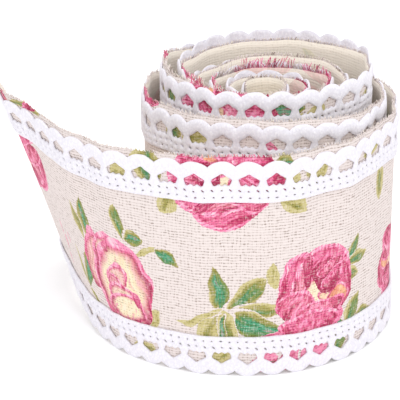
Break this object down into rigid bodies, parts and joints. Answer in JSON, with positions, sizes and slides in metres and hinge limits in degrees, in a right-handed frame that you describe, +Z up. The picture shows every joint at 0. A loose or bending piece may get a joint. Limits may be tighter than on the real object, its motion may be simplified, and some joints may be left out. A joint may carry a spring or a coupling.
{
  "type": "roll of lace-edged ribbon",
  "caption": "Loose roll of rose-printed linen ribbon with cotton lace along both edges, standing on its edge with its outer end free.",
  "frame": {"origin": "on the surface that the roll stands on, under the middle of its bounding box", "axes": "+Z up across the ribbon's width, +X from the free outer end towards the roll, -Y the front of the roll"},
  "size_m": [0.1098, 0.0784, 0.0722],
  "materials": {
    "printed_linen": "open plain weave, matt, printed with roses on the outer face",
    "cotton_lace": "white crocheted cotton, matt"
  },
  "bodies": {
    "root": {"linen_ribbon": "printed_linen", "upper_lace": "cotton_lace", "lower_lace": "cotton_lace"}
  },
  "joints": []
}
